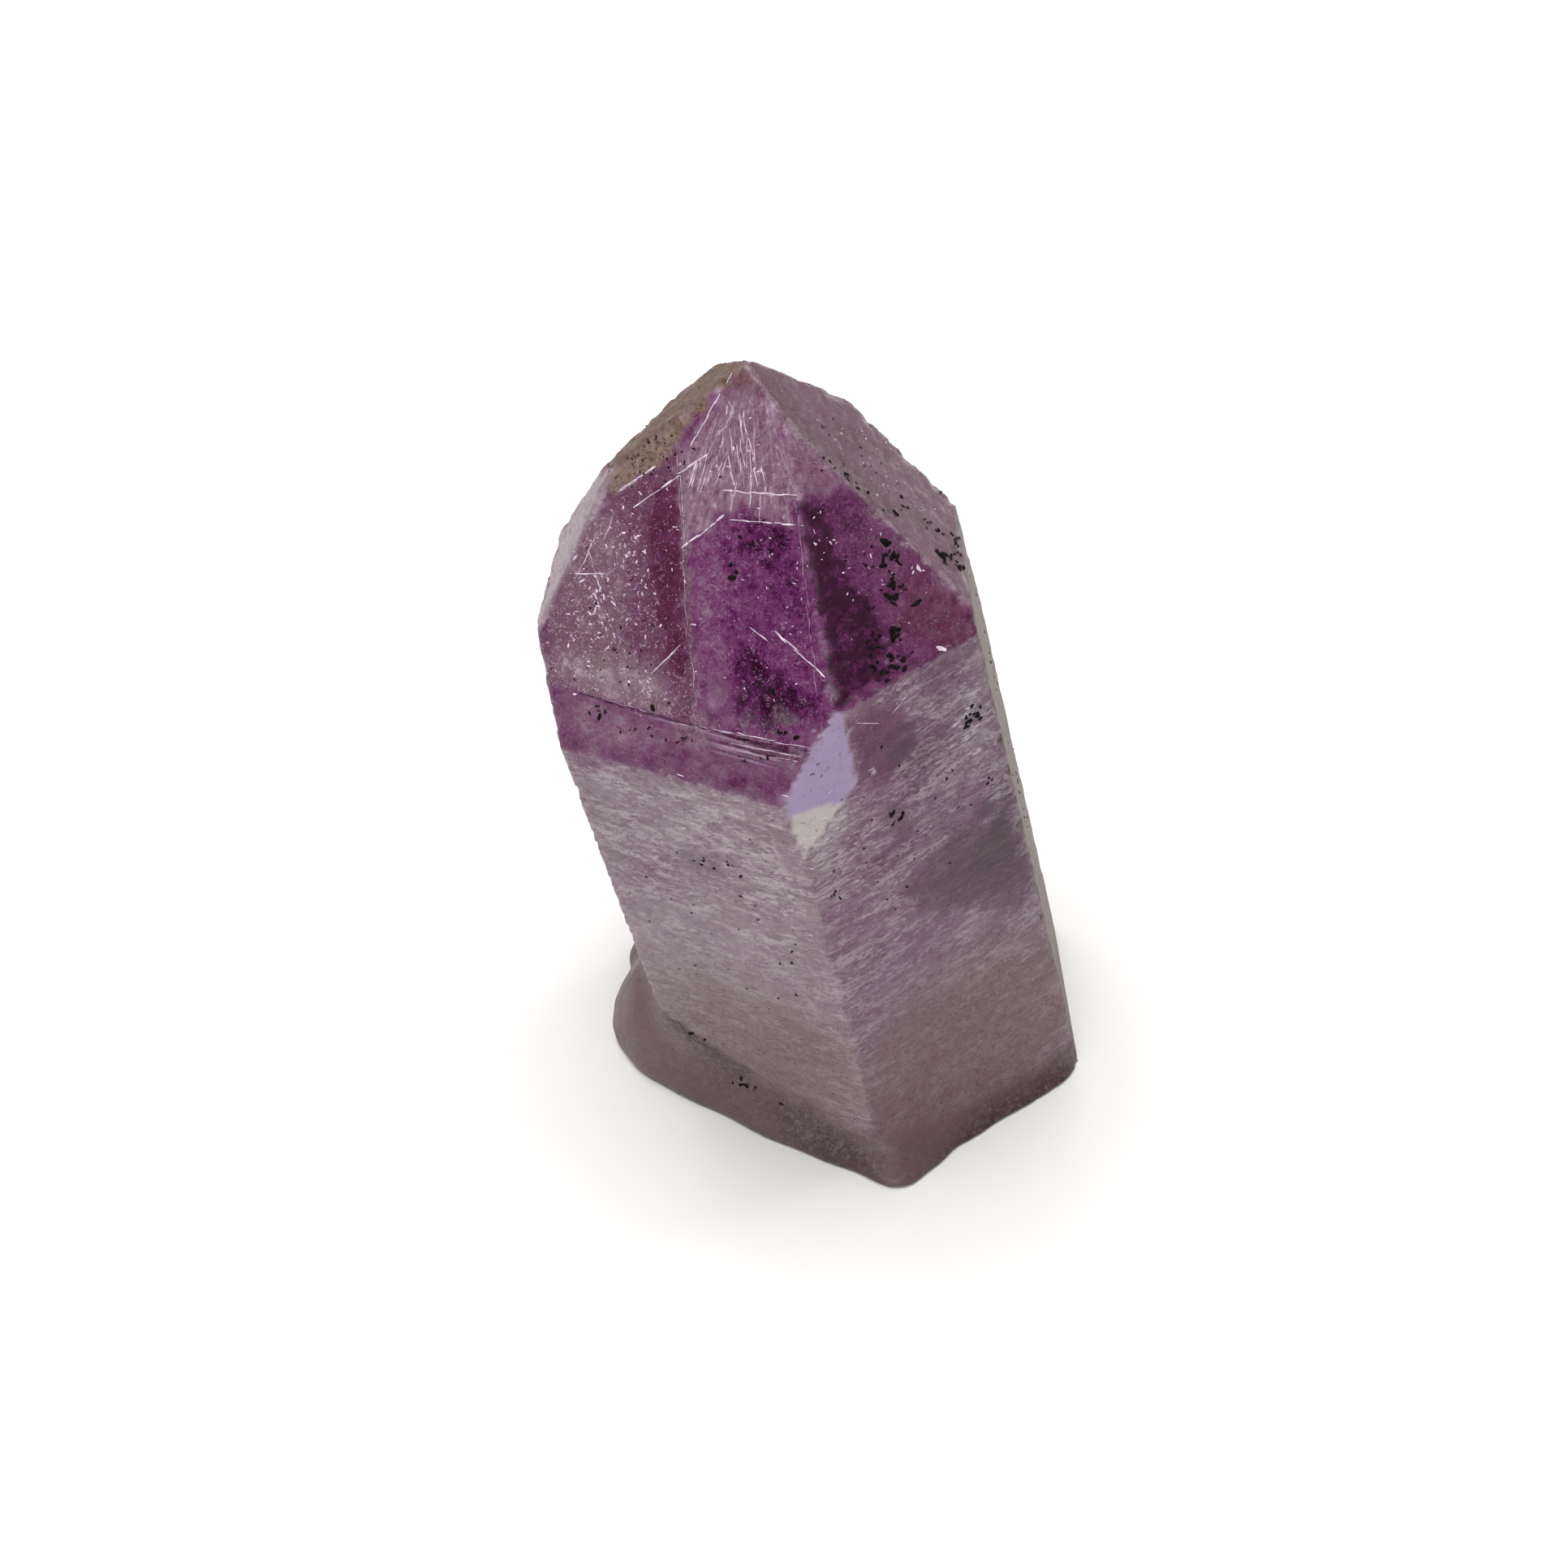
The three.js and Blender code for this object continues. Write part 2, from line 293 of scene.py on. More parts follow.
    # Frosted wear on the edges, and scratches that fan out below the apex
    local = paint.node("ShaderNodeSeparateXYZ")
    paint.link(face_coordinates(paint, "tip_front", (1, 1, 1)), local.inputs[0])
    fan_across, fan_up = 1.3, 18.0  # where the scratches meet, on the front tip face
    below = paint.math("SUBTRACT", fan_up, local.outputs["Y"])
    ray = paint.math("DIVIDE", paint.math("SUBTRACT", local.outputs["X"], fan_across), below)
    polar = paint.node("ShaderNodeCombineXYZ")
    paint.link(paint.math("MULTIPLY", ray, 26.0), polar.inputs[0])
    paint.link(paint.math("MULTIPLY", below, 0.9), polar.inputs[1])
    fan = paint.noise(polar.outputs[0], 1.0, 4, 0.7, 0.5)
    fan = paint.math("ADD", paint.math("MULTIPLY", fan, 0.45), paint.math("MULTIPLY", fine, 0.55))
    worn_tip = paint.math("MULTIPLY", mask["fan"], paint.range(mottle, 0.3, 0.5, 0.6, 1.0), clamp=True)
    brushed = paint.ramp(fan, [(0.4, "#573150"), (0.48, "#836078"), (0.54, "#8f7384"), (0.62, "#bdaab4")])
    tone = paint.mix(worn_tip, tone, brushed)
    wear = paint.math("MULTIPLY", mask["frost"], paint.range(fine, 0.42, 0.58), clamp=True)
    tone = paint.mix(paint.math("MULTIPLY", wear, 0.6), tone, colour("#b8a5b0"))
    paint.link(tone, paint.shader.inputs["Base Color"])

    dull = paint.math("MAXIMUM", paint.math("MAXIMUM", veil, tan), paint.math("MAXIMUM", wear, worn_tip))
    polish = paint.range(grain, 0.3, 0.7, 0.1, 0.2)
    rough = paint.math("ADD", polish, paint.math("MULTIPLY", dull, 0.5), clamp=True)
    paint.link(rough, paint.shader.inputs["Roughness"])

    ridges = paint.math("MULTIPLY", lines, layers)
    normal = paint.bump(ridges, 0.03 * MM, 0.8)
    normal = paint.bump(paint.math("MULTIPLY", grain, paint.math("ADD", dull, 0.15)), 0.04 * MM, 0.8, normal)
    normal = paint.bump(mottle, 0.05 * MM, 0.5, normal)
    paint.link(normal, paint.shader.inputs["Normal"])

    paint.shader.inputs["Transmission Weight"].default_value = 0.4
    paint.shader.inputs["IOR"].default_value = 1.54
    paint.shader.inputs["Specular IOR Level"].default_value = 0.2
    depth_colour = paint.node("ShaderNodeVolumeAbsorption")
    depth_colour.inputs["Color"].default_value = (0.8, 0.58, 0.68, 1.0)
    depth_colour.inputs["Density"].default_value = 170.0
    paint.link(depth_colour.outputs[0], paint.output.inputs["Volume"])
    return paint.material


def cloudy_group():
    """A tone, gloss and low relief that vary in soft clouds, for the plain materials."""
    group = bpy.data.node_groups.new("cloudy_surface", "ShaderNodeTree")
    colours, numbers = ("Light", "Dark"), ("Scale", "Least Roughness", "Most Roughness", "Relief")
    for name in colours + numbers:
        kind = "NodeSocketColor" if name in colours else "NodeSocketFloat"
        group.interface.new_socket(name, in_out="INPUT", socket_type=kind)
    for name, kind in (("Color", "Color"), ("Roughness", "Float"), ("Normal", "Vector")):
        group.interface.new_socket(name, in_out="OUTPUT", socket_type="NodeSocket" + kind)
    nodes = Nodes(group)
    given = nodes.node("NodeGroupInput").outputs
    result = nodes.node("NodeGroupOutput").inputs
    cloud = nodes.noise(crystal_coordinates(nodes, (1, 1, 1)), given["Scale"], 4, 0.6)
    nodes.link(nodes.mix(nodes.range(cloud, 0.35, 0.65), given["Dark"], given["Light"]), result["Color"])
    rough = nodes.range(cloud, 0.3, 0.7, given["Least Roughness"], given["Most Roughness"])
    nodes.link(rough, result["Roughness"])
    nodes.link(nodes.bump(cloud, given["Relief"]), result["Normal"])
    return group


CLOUDY = cloudy_group()


def plain_material(name, code, dark, rough, scale, bump=0.02, shine=0.3):
    """An opaque mineral or floor whose tone varies a little."""
    paint = Paint(name)
    cloudy = paint.node("ShaderNodeGroup", node_tree=CLOUDY)
    values = {"Light": colour(code), "Dark": colour(dark), "Scale": scale, "Relief": bump * MM,
              "Least Roughness": rough, "Most Roughness": rough + 0.15}
    for socket, value in values.items():
        cloudy.inputs[socket].default_value = value
    for output, target in (("Color", "Base Color"), ("Roughness", "Roughness"), ("Normal", "Normal")):
        paint.link(cloudy.outputs[output], paint.shader.inputs[target])
    paint.shader.inputs["Specular IOR Level"].default_value = shine
    return paint.material


# ---- The stone ----
# Colour and wear of each face before its patches; what isn't named is none
BASE = {
    "side_right": dict(violet=0.05, milk=0.05, tan=0.7, stain_and_shade=0.2, smoke=0.7, layers=1),
    "side_back_right": dict(violet=0.2, milk=0.5, tan=0.1, frost=0.1, layers=1),
    "side_back_left": dict(violet=0.2, milk=0.5, tan=0.1, frost=0.1, layers=1),
    "side_left": dict(violet=0.1, milk=0.6, tan=0.1, frost=0.1, layers=1),
    "side_front_left": dict(violet=0.08, milk=0.6, tan=0.05, layers=1, flecks=0.25),
    "side_front_right": dict(violet=0.3, milk=0.5, smoke=0.1, tan=0.05, layers=1, flecks=0.2),
    "tip_right": dict(violet=0.25, maroon=0.1, milk=0.12, tan=0.25, stain_and_shade=0.12, smoke=0.35, flecks=0.25),
    "tip_back_right": dict(violet=0.5, maroon=0.1, milk=0.15, tan=0.1, frost=0.2, flecks=0.4),
    "tip_back_left": dict(violet=0.5, maroon=0.1, milk=0.15, tan=0.2, frost=0.2, flecks=0.4),
    "tip_left": dict(violet=0.1, milk=0.6, tan=0.2, frost=0.2, flecks=0.4),
    "tip_front": dict(violet=0.62, flecks=0.3),
    "tip_step": dict(violet=0.42, maroon=0.5, milk=0.05, smoke=0.3, flecks=0.6),
    "tip_front_right": dict(violet=0.68, maroon=0.2, smoke=0.1, flecks=0.2),
    "band": dict(violet=0.58, maroon=0.2, layers=0.2, flecks=0.2),
    "cap": dict(violet=0.05, maroon=0.1, tan=1.0, stain_and_shade=0.25),
    "shoulder_right": dict(violet=0.1, milk=0.1, tan=0.6, stain_and_shade=0.2, smoke=0.2),
    "shoulder_left": dict(milk=0.5, tan=0.3, pale=0.3),
    "shoulder_low": dict(milk=0.5, tan=0.2, pale=0.3),
    # The bright facet's pale bluish tone is a painted reflection of the sky
    "bright_facet": dict(violet=0.8, pale=0.8),
    "shelf": dict(milk=0.5, tan=0.1, layers=0.5, pale=0.85),
    # The foot's dark smoky brown is partly its own colour and partly painted shade on its lower slope
    "foot": dict(violet=0.1, maroon=0.1, milk=0.15, tan=0.6, stain_and_shade=0.5, smoke=0.45, flecks=0.1),
}

# Soft patches on the faces: mask, middle (across, up), half size (across, up), turn, how much it adds
PATCHES = {
    "tip_step": [
        ("frost", (-4.6, 6.4), (2.0, 2.2), 0, 0.2),
        ("milk", (-5.4, 0.4), (1.8, 0.9), 0, 0.3),
        ("maroon", (-4.0, 0.6), (3.4, 1.2), 0, -0.3),
        ("violet", (-4.0, 0.6), (3.4, 1.2), 0, -0.15),
    ],
    "tip_front": [
        ("maroon", (1.2, 15.8), (1.6, 1.4), 0, 0.8),
        ("fan", (1.2, 15.9), (1.2, 1.0), 0, -0.4),
        ("tan", (1.0, 16.2), (1.4, 1.2), 0, 0.4),
        ("violet", (1.0, 16.0), (1.6, 1.4), 0, -0.4),
        ("violet", (3.3, 9.0), (1.3, 1.7), 14, 0.2),
        ("violet", (4.6, 6.4), (1.3, 2.6), 14, 0.12),
        ("violet", (0.9, 4.6), (1.3, 3.8), 14, -0.16),
        ("violet", (4.9, 1.4), (2.6, 1.7), -8, 0.3),
        ("violet", (2.8, 2.6), (1.4, 1.0), 0, 0.15),
        ("violet", (1.2, 0.6), (1.2, 0.8), 0, -0.15),
    ],
    "tip_front_right": [
        ("violet", (2.6, 6.8), (1.0, 1.4), 20, 0.1),
        ("maroon", (4.6, 0.8), (2.2, 2.6), 0, 0.7),
        ("violet", (4.8, 0.8), (2.0, 2.2), 0, -0.25),
        ("milk", (3.6, 4.6), (1.2, 1.6), 0, 0.15),
    ],
    "tip_right": [
        ("stain_and_shade", (-2.4, 8.8), (0.9, 4.0), -21, 0.35),
        ("smoke", (-2.0, 8.0), (1.6, 4.0), -21, 0.4),
        ("stain_and_shade", (-1.2, 3.6), (0.8, 1.2), 0, 0.35),
        ("smoke", (1.6, 6.0), (1.0, 3.0), 10, 0.3),
        ("frost", (-2.2, 9.0), (1.1, 4.2), -21, 0.35),
        ("maroon", (0.4, 12.0), (1.2, 2.4), -10, 0.5),
        ("stain_and_shade", (-3.4, 2.0), (0.6, 0.9), 0, 0.4),
        ("stain_and_shade", (-2.2, 0.8), (2.0, 1.0), 0, 0.3),
        ("milk", (0.8, 3.4), (2.0, 3.2), -10, 0.25),
    ],
    "band": [
        ("milk", (-4.4, -0.6), (2.0, 1.3), 0, 0.35),
        ("violet", (-3.8, -0.6), (2.4, 1.3), 0, -0.2),
        ("maroon", (-3.8, -0.6), (2.4, 1.3), 0, -0.1),
        ("violet", (4.4, 0.4), (3.2, 0.9), 0, 0.2),
        ("striae", (4.6, 0.25), (3.4, 0.75), 3, 1.0),
        ("striae", (-0.4, 0.5), (2.6, 0.5), 0, 0.5),
        ("violet", (3.6, -0.9), (2.4, 0.4), 0, -0.2),
        ("pale", (6.1, -1.7), (0.7, 0.4), 20, 0.35),
    ],
    "side_front_left": [
        ("milk", (1.5, 1.6), (6.4, 1.1), 0, 0.4),
        ("milk", (4.6, -3.2), (1.8, 2.6), 0, 0.4),
        ("milk", (0.2, -2.7), (1.8, 0.9), 0, -0.5),
        ("smoke", (0.2, -2.7), (1.5, 0.7), 0, 0.4),
        ("violet", (-4.4, 3.2), (2.4, 1.4), 0, 0.3),
        ("smoke", (-5.6, -2.0), (1.2, 4.0), 0, 0.3),
        ("milk", (1.2, -7.0), (3.0, 2.6), 25, 0.25),
        ("violet", (-3.0, -4.5), (2.4, 2.4), 0, 0.15),
        ("tan", (0, -18), (8.0, 6.5), -10, 0.6),
        ("layers", (0, -21), (8.0, 5.0), -10, -0.5),
        ("layers", (0, -11), (8.0, 5.5), -10, -0.35),
    ],
    "side_front_right": [
        ("violet", (-0.6, 4.4), (1.6, 2.6), 0, 0.2),
        ("smoke", (1.6, 2.6), (2.6, 1.2), -20, 0.3),
        ("smoke", (-0.4, -1.2), (0.9, 1.8), 10, 0.6),
        ("milk", (-0.4, -1.2), (0.9, 1.8), 10, -0.4),
        ("smoke", (-1.6, -4.2), (1.4, 3.0), 20, 0.3),
        ("smoke", (4.6, -9.6), (2.2, 3.0), 0, 0.35),
        ("violet", (3.4, 6.3), (1.8, 0.8), 0, 0.2),
        ("violet", (1.8, 3.2), (2.2, 1.8), 0, 0.25),
        ("smoke", (2.8, -6.9), (3.4, 3.0), 10, 0.5),
        ("violet", (4.4, -8.0), (2.4, 2.2), 0, 0.35),
        ("violet", (5.2, -4.4), (1.2, 2.4), 0, 0.5),
        ("milk", (2.8, -6.9), (3.2, 2.4), 10, -0.4),
        ("violet", (-0.8, -2.9), (1.2, 1.2), 0, 0.3),
        ("violet", (1.2, 0.8), (1.8, 2.0), 0, 0.3),
        ("milk", (-4.3, 0.8), (1.2, 3.2), 0, 0.5),
        ("violet", (-4.2, 0.8), (1.4, 3.4), 0, -0.2),
        ("milk", (4.7, 1.8), (0.8, 2.6), -6, 0.7),
        ("frost", (4.7, 1.8), (0.8, 2.6), -6, 0.9),
        ("tan", (1.0, -21), (9.0, 8.0), 0, 0.65),
        ("layers", (0, -22), (8.0, 7.0), 0, -0.5),
        ("layers", (-1, -13), (7.0, 4.5), 0, -0.3),
        # Dark brown along the foot: partly a stain, partly painted shade
        ("stain_and_shade", (0.1, -26.5), (2.6, 0.7), 0, 0.35),
    ],
}

# Patches with a sharper, ragged outline: faces, mask amounts and outline (across, up)
OUTLINES = [
    (("tip_step", "tip_front"), dict(tan=1.0, violet=-0.4, maroon=-0.4, flecks=-0.4),
     [(-0.7, 17.0), (-5.5, 12.4), (-7.4, 9.7), (-5.7, 9.3), (-4.6, 9.8), (-2.1, 11.9), (-1.3, 13.3),
      (0.6, 15.6)]),
    (("tip_step", "tip_front"), dict(fan=0.85, violet=-0.3),
     [(0.6, 15.3), (-2.1, 11.4), (-1.2, 7.5), (0.9, 9.3), (2.2, 10.1), (4.7, 9.5), (4.4, 12.3), (2.2, 15.3)]),
    (("tip_step", "tip_front"), dict(violet=0.3, maroon=0.25, milk=-0.1, flecks=-0.3),
     [(-3.3, 9.6), (-1.7, 10.4), (-1.0, 7.0), (-0.6, 4.7), (0.1, 1.2), (-1.0, 1.6), (-2.2, 4.3),
      (-2.8, 7.0)]),
    (("tip_step", "tip_front"), dict(violet=-0.15, milk=0.25, flecks=0.4, tan=0.15),
     [(-7.6, 8.0), (-5.2, 8.4), (-3.8, 6.4), (-3.6, 3.0), (-2.8, 1.6), (-1.0, 1.0), (-0.4, -0.8),
      (-7.8, -0.8)]),
    (("tip_front_right",), dict(violet=0.4, maroon=-0.2, flecks=-0.25),
     [(1.1, 8.6), (0.0, 6.0), (-0.8, 3.0), (-2.2, -0.6), (0.6, -0.4), (1.9, 2.4), (1.3, 4.6), (2.0, 7.0)]),
    (("tip_front_right",), dict(fan=0.5, violet=-0.3, maroon=0.3),
     [(0.9, 8.6), (2.9, 8.3), (4.2, 7.4), (3.4, 9.2), (2.8, 13.3), (1.4, 15.0), (0.4, 11.0)]),
    (("side_front_right",), dict(violet=0.2, milk=-0.7, flecks=-0.2, layers=-0.4),
     [(-1.7, 7.0), (0.6, 6.4), (1.8, 3.6), (0.9, 2.4), (-1.0, 1.2), (-1.7, 3.4)]),
    (("side_front_right",), dict(smoke=0.4, milk=-0.45, violet=0.1, flecks=-0.2),
     [(-0.9, -5.5), (2.4, -4.3), (5.7, -5.6), (6.6, -10.9), (5.4, -13.0), (2.7, -10.3), (-0.4, -8.8)]),
    (("side_front_right",), dict(milk=0.5, frost=0.45, violet=-0.2),
     [(-5.4, 2.6), (-3.4, 3.2), (-1.8, 3.4), (-2.6, 1.6), (-3.6, 0.4), (-4.4, -2.0), (-5.5, -1.4)]),
    # Dark brown where the lower faces meet the foot: partly a stain, partly painted shade
    (("side_front_left", "foot"), dict(stain_and_shade=0.85, smoke=0.3),
     [(-7.2, -17.8), (-3.0, -21.0), (2.0, -23.8), (5.8, -25.8), (6.4, -24.6), (4.6, -23.2), (0.0, -21.4),
      (-4.0, -19.0), (-6.8, -16.8)]),
    (("side_front_left", "foot"), dict(stain_and_shade=-0.25, smoke=-0.15, tan=-0.05),
     [(-12.0, -13.0), (-7.6, -15.0), (-7.4, -18.6), (-6.8, -21.6), (-9.0, -25.0), (-13.0, -20.0)]),
    # Dark brown where the lower face meets the foot: partly a stain, partly painted shade
    (("side_front_right", "foot"), dict(stain_and_shade=0.75, smoke=0.2),
     [(-3.4, -27.8), (0.0, -27.2), (4.8, -28.8), (7.6, -27.6), (7.4, -25.6), (4.6, -26.6), (1.5, -25.8),
      (-1.0, -26.2), (-3.2, -26.4)]),
]


def fine_copy():
    """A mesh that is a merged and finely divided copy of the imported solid."""
    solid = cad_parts["crystal"]
    sculpt = bmesh.new()
    sculpt.from_mesh(solid.data)
    bmesh.ops.remove_doubles(sculpt, verts=sculpt.verts, dist=1e-6)
    mesh = bpy.data.meshes.new("amethyst_blank")
    sculpt.to_mesh(mesh)
    sculpt.free()
    blank = bpy.data.objects.new("amethyst_blank", mesh)
    bpy.context.collection.objects.link(blank)
    divide = blank.modifiers.new("divide", "REMESH")
    divide.mode = "VOXEL"
    divide.voxel_size = CELL * MM
    divide.use_smooth_shade = True
    fine = bpy.data.meshes.new_from_object(blank.evaluated_get(bpy.context.evaluated_depsgraph_get()))
    bpy.data.objects.remove(blank)
    bpy.data.meshes.remove(mesh)
    return fine


def read_places(mesh):
    values = np.empty(len(mesh.vertices) * 3)
    mesh.vertices.foreach_get("co", values)
    return values.reshape(-1, 3) / MM


def read_normals(mesh):
    values = np.empty(len(mesh.vertices) * 3, dtype=np.float32)
    mesh.vertex_normals.foreach_get("vector", values)
    return values.reshape(-1, 3).astype(float)


def field(places, scale, seed, octaves=2):
    """Smooth noise from -1 to 1 at each place."""
    offset = Vector((seed * 17.3, seed * 5.1, seed * 11.7))
    return np.array([noise.fractal(Vector(p) * scale + offset, 1.0, 2.0, octaves) for p in places])


def smooth_step(value, low, high):
    t = np.clip((value - low) / (high - low), 0, 1)
    return t * t * (3 - 2 * t)


def sort_by_face(places):
    """Each vertex's face, its distance from an edge and how far it stands out of the face."""
    heights = np.stack([(places - np.array(AXES[n][3])) @ np.array(AXES[n][2]) for n in FACES], axis=1)
    order = list(FACES)
    main = [i for i, n in enumerate(order) if n not in ("bright_facet", "shelf")]
    nearest = np.array(main)[heights[:, main].argmax(axis=1)]
    top = heights[:, main].max(axis=1)
    second = np.sort(heights[:, main], axis=1)[:, -2]
    facet, shelf = order.index("bright_facet"), order.index("shelf")
    on_facet = (top < -0.04) & (np.abs(heights[:, facet]) < 0.09) & (heights[:, shelf] > -0.3)
    on_shelf = (top < -0.04) & (np.abs(heights[:, shelf]) < 0.09) & (heights[:, facet] > -0.3) & ~on_facet
    nearest = np.where(on_facet, facet, np.where(on_shelf, shelf, nearest))
    across, up, _, origin = AXES["tip_front"]
    u = (places - np.array(origin)) @ np.array(across)
    v = (places - np.array(origin)) @ np.array(up)
    left = (nearest == order.index("tip_front")) & (u < STEP_ACROSS - v * math.tan(math.radians(STEP_TURN)))
    nearest[left] = NAMES.index("tip_step")
    nearest[(top > 0.15) | (places[:, 2] < FOOT_FLAT)] = NAMES.index("foot")
    from_step = np.abs(u - (STEP_ACROSS - v * math.tan(math.radians(STEP_TURN))))
    on_tip = (nearest == order.index("tip_front")) | left
    from_edge = np.where(on_tip, np.minimum(top - second, from_step), top - second)
    return nearest, from_edge, np.where(on_facet | on_shelf | left, 0, top)


def inside_by(u, v, outline):
    """How far each place lies inside an outline, negative where it lies outside."""
    reach = np.full(len(u), 1e9)
    inside = np.zeros(len(u), bool)
    for (u0, v0), (u1, v1) in zip(outline, outline[1:] + outline[:1]):
        du, dv = u1 - u0, v1 - v0
        t = np.clip(((u - u0) * du + (v - v0) * dv) / (du * du + dv * dv), 0, 1)
        reach = np.minimum(reach, np.hypot(u - u0 - t * du, v - v0 - t * dv))
        if v0 != v1:
            inside ^= ((v0 > v) != (v1 > v)) & (u < du * (v - v0) / dv + u0)
    return np.where(inside, reach, -reach)


def paint_masks(places, nearest):
    """The value of each mask at each place."""
    base = np.array([[BASE[n].get(m, 0) for m in MASKS] for n in NAMES], dtype=float)
    values = base[nearest]
    warp = np.stack([field(places, 0.45, 3), field(places, 0.45, 4)], axis=1) * 0.8
    ragged = np.stack([field(places, 1.3, 13, 3), field(places, 1.3, 14, 3)], axis=1) * 0.5

    def local(names, shift):
        rows = np.flatnonzero(np.isin(nearest, [NAMES.index(n) for n in names]))
        across, up, _, origin = AXES[names[0]]
        flat = places[rows] - np.array(origin)
        return rows, flat @ np.array(across) + shift[rows, 0], flat @ np.array(up) + shift[rows, 1]

    for name, patches in PATCHES.items():
        rows, u, v = local((name,), warp)
        for mask, (cu, cv), (hu, hv), turn, amount in patches:
            c, s = math.cos(math.radians(turn)), math.sin(math.radians(turn))
            x, y = (u - cu) * c + (v - cv) * s, (v - cv) * c - (u - cu) * s
            reach = np.sqrt((x / hu) ** 2 + (y / hv) ** 2)
            values[rows, MASKS.index(mask)] += amount * (1 - smooth_step(reach, 0.35, 1.3))
    for names, amounts, outline in OUTLINES:
        rows, u, v = local(names, ragged)
        within = smooth_step(inside_by(u, v, outline), -0.25, 0.35)
        for mask, amount in amounts.items():
            values[rows, MASKS.index(mask)] += amount * within
    return np.clip(values, 0, 1)


def edge_list(mesh):
    pairs = np.empty(len(mesh.edges) * 2, dtype=np.int32)
    mesh.edges.foreach_get("vertices", pairs)
    return pairs.reshape(-1, 2)


def averaged(values, pairs, count):
    """Each vertex's value, averaged with those of its neighbours."""
    total = np.zeros_like(values)
    for i in range(values.shape[1]):
        total[:, i] = np.bincount(pairs[:, 0], values[pairs[:, 1], i], count)
        total[:, i] += np.bincount(pairs[:, 1], values[pairs[:, 0], i], count)
    return total / np.bincount(pairs.ravel(), minlength=count)[:, None]


def amethyst_point():
    """The finished stone."""
    mesh = fine_copy()
    mesh.name = "amethyst_point"
    places = read_places(mesh)
    pairs = edge_list(mesh)
    nearest, from_edge, sunk = sort_by_face(places)
    outward = np.array([AXES[n][2] if n in AXES else (0, 0, 0) for n in NAMES])[nearest]

    # Crisp edges again where the fine division rounded them off
    near_edge = (from_edge < 0.3) & (sunk > -0.13) & (sunk < 0)
    places -= outward * (sunk * near_edge)[:, None]
    foot = (nearest == NAMES.index("foot")) & (places[:, 2] > FOOT_FLAT)
    masks = paint_masks(places, nearest)

    # The faces run down into the foot in a soft hollow
    footed = foot.astype(float)[:, None]
    for _ in range(FOOT_ROUNDS):
        footed = averaged(footed, pairs, len(places))
    soft = smooth_step(footed, 0.02, 0.3) * smooth_step(places[:, 2:], 0.1, 0.8)
    for _ in range(HOLLOW_ROUNDS):
        places += soft * (averaged(places, pairs, len(places)) - places)
    crease = (4 * footed * (1 - footed))[:, 0] ** 2 * (places[:, 2] > 0.5)

    # Worn edges, growth layers on the sides, low swellings on the tip and a lumpy foot
    mesh.vertices.foreach_set("co", (places * MM).ravel())
    mesh.update()
    normals = read_normals(mesh)
    axial = (places - np.array(MIDDLE)) @ np.array(LEAN)
    edge_noise = field(axial, 0.8, 1, 3)
    worn = (1 - smooth_step(from_edge, 0.05, 0.45)) * smooth_step(edge_noise, 0.05, 0.5) * (1 - footed[:, 0])
    layer_field = field(axial * np.array((0.35, 0.35, 2.0)), 1.0, 2, 3)
    swell = field(axial, 0.5, 5, 2)
    layered = masks[:, MASKS.index("layers")]
    pits = smooth_step(field(axial, 2.2, 8, 2), 0.3, 0.6) * (1 - layered)
    inward = 0.12 * worn + 0.02 * layered * layer_field + 0.02 * swell + 0.05 * pits
    inward += footed[:, 0] * 0.16 * field(axial, 0.4, 6, 3)
    inward *= smooth_step(places[:, 2], 0.2, 1.2)
    places = places - normals * inward[:, None]
    mesh.vertices.foreach_set("co", (places * MM).ravel())

    line = (1 - smooth_step(from_edge, 0.08, 0.3)) * smooth_step(field(axial, 1.6, 9, 2), -0.35, 0.2)
    line *= 1 - footed[:, 0]
    masks[:, MASKS.index("frost")] += 0.4 * worn + 0.18 * line
    # A dark brown along the crease where the faces meet the foot, partly a stain and partly painted shade
    masks[:, MASKS.index("stain_and_shade")] += 0.7 * crease * smooth_step(field(axial, 0.35, 12, 2), -0.2, 0.35)
    near_foot = smooth_step(footed, 0.0, 0.12) * smooth_step(1 - footed, 0.0, 0.12)
    for _ in range(MASK_ROUNDS):
        masks += near_foot * (averaged(masks, pairs, len(places)) - masks)
    masks = np.clip(masks, 0, 1)
    for i, name in enumerate(MASKS):
        mesh.attributes.new(name, "FLOAT", "POINT").data.foreach_set("value", masks[:, i].astype(np.float32))
    mesh.update()
    mesh.materials.clear()
    mesh.materials.append(quartz_material())
    stone = bpy.data.objects.new("amethyst_point", mesh)
    bpy.context.collection.objects.link(stone)
    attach(stone, "root")
    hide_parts("crystal")
    return stone


# ---- Small things in and on the faces ----
def add_sliver(sculpt, name, across, up, turn, length, width, height, detail=1):
    """A small lens of mineral lying on a face of the stone, turned from level by the given angle."""
    a, u, n, _ = AXES[name]
    spot, facing, _, _ = stone_surface.ray_cast(place(name, across, up, 1.0), -n, 2.0 * MM)
    if spot is None or facing.dot(n) < 0.85:
        return
    t = math.radians(turn)
    along, over = a * math.cos(t) + u * math.sin(t), u * math.cos(t) - a * math.sin(t)
    lens = Matrix((along * length / 2, over * width / 2, n * height)).transposed().to_4x4()
    laid = Matrix.Translation(spot) @ Matrix.Scale(MM, 4) @ lens
    bmesh.ops.create_icosphere(sculpt, subdivisions=detail, radius=1.0, matrix=laid)


